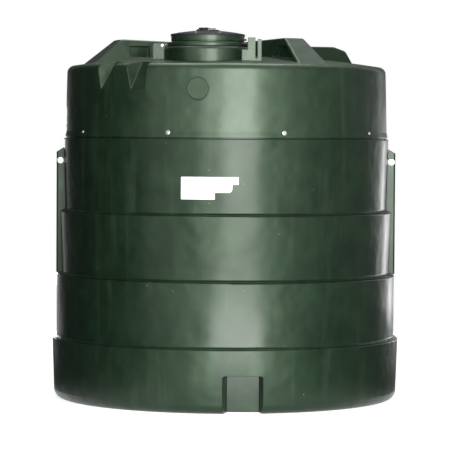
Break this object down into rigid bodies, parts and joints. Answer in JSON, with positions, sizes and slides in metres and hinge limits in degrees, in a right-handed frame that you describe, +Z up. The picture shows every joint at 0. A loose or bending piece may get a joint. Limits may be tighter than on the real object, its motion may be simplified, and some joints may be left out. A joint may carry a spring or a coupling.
{
  "type": "double-walled effluent tank",
  "caption": "Upright round double-walled plastic effluent tank with a bolted-on ribbed cover, hinged manway lid and lockable filler cap.",
  "frame": {"origin": "centre of the base, on the ground", "axes": "+Z up along the tank, -Y towards the front with the recess in the foot, +X to the right seen from the front"},
  "size_m": [1.8973, 1.8974, 2.017],
  "materials": {
    "green_plastic": "satin",
    "black_plastic": "matte",
    "stainless": "brushed",
    "brass": "satin",
    "rubber": "matte"
  },
  "bodies": {
    "tank": {"outer_bund": "green_plastic", "top_cover": "green_plastic", "inner_tank": "black_plastic", "cover_screws": "stainless", "cover_washers": "stainless", "cover_inserts": "brass", "lashing_bush_left": "stainless", "lashing_bush_right": "stainless", "lashing_retainers": "stainless", "vent_pipe": "black_plastic", "vent_gasket": "rubber", "vent_nut": "black_plastic", "vent_grommet": "rubber", "vent_gauze": "stainless", "vent_cap": "black_plastic", "lid_hinge_pin": "stainless", "lid_pin_clip": "stainless"},
    "lid": {"manway_lid": "green_plastic", "lid_seal": "rubber", "lid_crown": "black_plastic", "crown_rivets": "stainless", "filler_base": "black_plastic", "filler_nut": "black_plastic", "filler_staple": "stainless", "filler_hinge_pin": "stainless"},
    "flap": {"filler_flap": "black_plastic", "filler_seal": "rubber"}
  },
  "joints": [
    {"name": "lid_hinge", "type": "hinge", "parent": "tank", "child": "lid", "pos_m": [-0.34, -0.52, 1.912], "axis": [0, -1, 0], "range_deg": [0, 110]},
    {"name": "filler_flap_hinge", "type": "hinge", "parent": "lid", "child": "flap", "pos_m": [-0.152, -0.52, 2.003], "axis": [0, -1, 0], "range_deg": [0, 150]}
  ]
}
